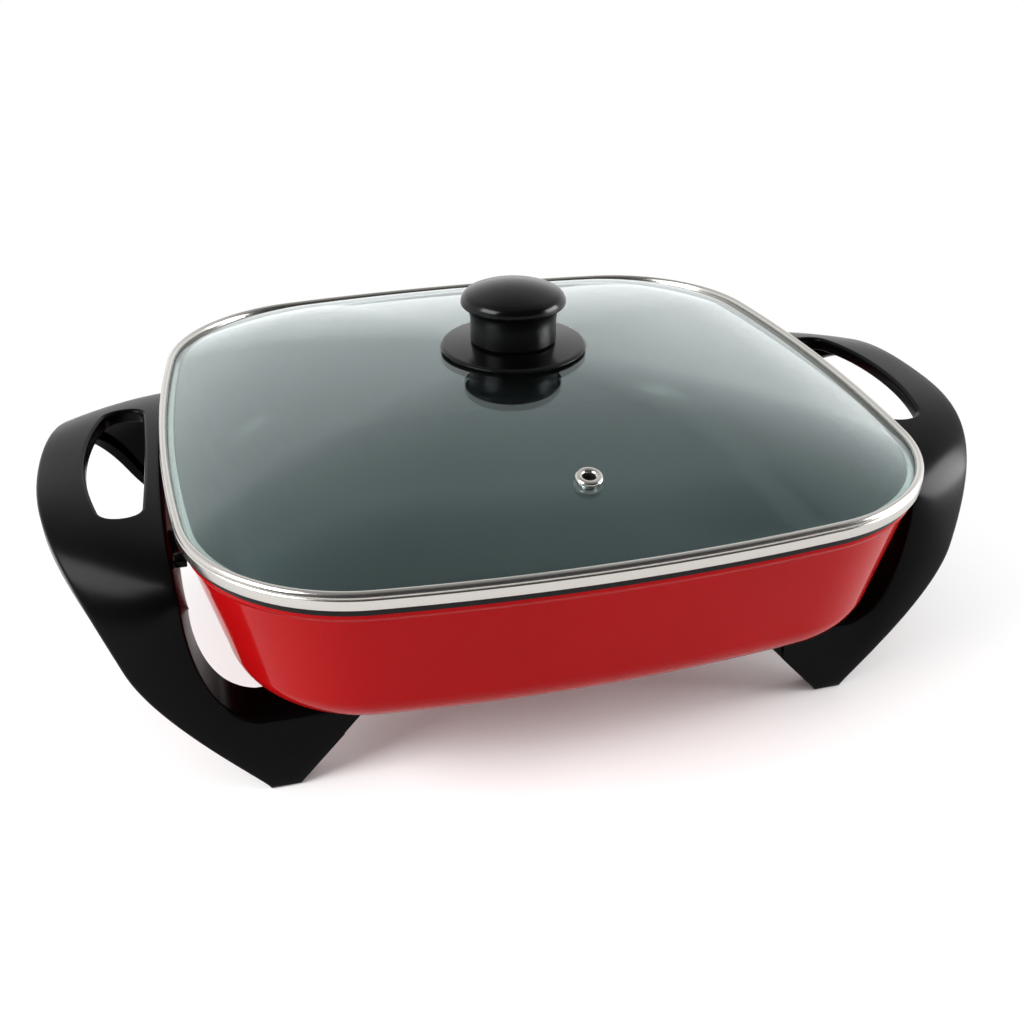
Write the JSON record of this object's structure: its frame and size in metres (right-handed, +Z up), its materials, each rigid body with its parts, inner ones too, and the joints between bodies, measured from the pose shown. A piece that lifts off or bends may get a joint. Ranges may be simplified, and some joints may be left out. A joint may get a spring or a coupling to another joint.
{
  "type": "electric hot pot",
  "caption": "Deep square electric skillet: red cast pan on black handle brackets with integral legs, under a lift-off domed glass lid with steel rim, knob and steam vent.",
  "frame": {"origin": "on the table, under the middle of the pan", "axes": "+X to the right along the line of the two handles, +Y to the back, +Z up"},
  "size_m": [0.3968, 0.29, 0.166],
  "materials": {
    "pan_enamel": "gloss",
    "black_moulding": "satin",
    "black_knob": "semi-gloss",
    "clear_glass": "clear",
    "rim_steel": "polished",
    "fastener_steel": "zinc plated",
    "element_sheath": "oxidised",
    "white_ceramic": "matte",
    "insert_brass": "machined",
    "silicone": "matte"
  },
  "bodies": {
    "base": {"pan": "pan_enamel", "left_bracket": "black_moulding", "right_bracket": "black_moulding", "side_screws": "fastener_steel", "side_washers": "fastener_steel", "leg_screws": "fastener_steel", "leg_washers": "fastener_steel", "heating_element": "element_sheath", "terminal_pins": "fastener_steel", "terminal_insulators": "white_ceramic", "inlet_guard": "black_moulding", "guard_screws": "fastener_steel", "probe_sleeve": "fastener_steel"},
    "lid": {"lid_glass": "clear_glass", "lid_rim": "rim_steel", "knob": "black_knob", "knob_skirt": "black_knob", "knob_insert": "insert_brass", "knob_screw": "fastener_steel", "knob_washer": "fastener_steel", "knob_gaskets": "silicone", "vent_eyelet": "rim_steel", "vent_washer": "fastener_steel"}
  },
  "joints": [
    {"name": "lid_lift", "type": "slide", "parent": "base", "child": "lid", "axis": [0, 0, 1], "range_m": [0, 0.12]}
  ]
}
